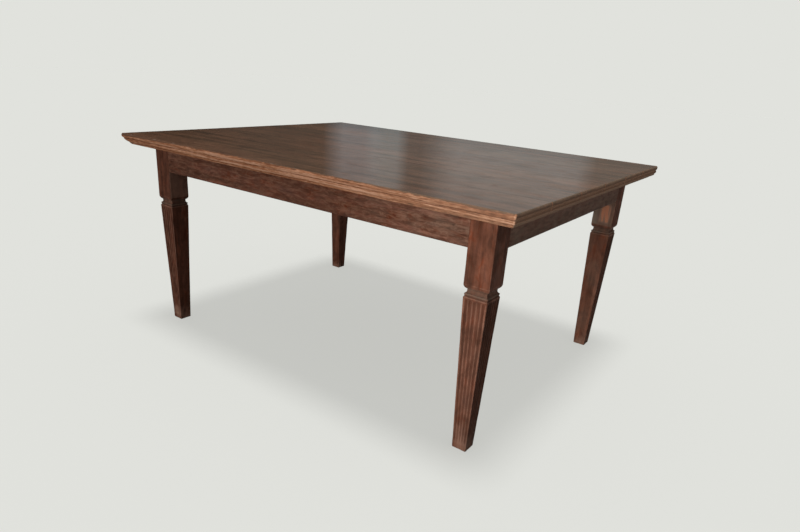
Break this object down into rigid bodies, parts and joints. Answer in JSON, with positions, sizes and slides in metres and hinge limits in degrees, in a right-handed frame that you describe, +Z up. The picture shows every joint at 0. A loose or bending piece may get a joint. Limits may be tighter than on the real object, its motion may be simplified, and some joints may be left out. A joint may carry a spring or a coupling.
{
  "type": "dining table",
  "caption": "Plank-top dining table with a two-roll moulded edge, aprons flush with the legs and square tapered legs with fluted outward faces.",
  "frame": {"origin": "on the floor, under the centre of the top", "axes": "+X along the table, +Y towards its back, +Z up"},
  "size_m": [1.6498, 1.2698, 0.762],
  "materials": {
    "top_wood": "worn dark varnish, satin",
    "frame_wood": "aged red-brown stain, dull satin",
    "inner_wood": "bare planed wood",
    "screw_steel": "dull"
  },
  "bodies": {
    "root": {"back_apron": "frame_wood", "brace_screws": "screw_steel", "button_back_1": "inner_wood", "button_back_2": "inner_wood", "button_back_3": "inner_wood", "button_back_4": "inner_wood", "button_front_1": "inner_wood", "button_front_2": "inner_wood", "button_front_3": "inner_wood", "button_front_4": "inner_wood", "button_left_1": "inner_wood", "button_left_2": "inner_wood", "button_left_3": "inner_wood", "button_left_4": "inner_wood", "button_right_1": "inner_wood", "button_right_2": "inner_wood", "button_right_3": "inner_wood", "button_right_4": "inner_wood", "button_screws": "screw_steel", "corner_brace_back_left": "inner_wood", "corner_brace_back_right": "inner_wood", "corner_brace_front_left": "inner_wood", "corner_brace_front_right": "inner_wood", "cross_rail_left": "inner_wood", "cross_rail_right": "inner_wood", "front_apron": "frame_wood", "left_apron": "frame_wood", "leg_back_left": "frame_wood", "leg_back_right": "frame_wood", "leg_front_left": "frame_wood", "leg_front_right": "frame_wood", "loose_tongue_1": "inner_wood", "loose_tongue_2": "inner_wood", "loose_tongue_3": "inner_wood", "loose_tongue_4": "inner_wood", "loose_tongue_5": "inner_wood", "rail_screws": "screw_steel", "right_apron": "frame_wood", "top_board_1": "top_wood", "top_board_2": "top_wood", "top_board_3": "top_wood", "top_board_4": "top_wood", "top_board_5": "top_wood", "top_board_6": "top_wood"}
  },
  "joints": []
}
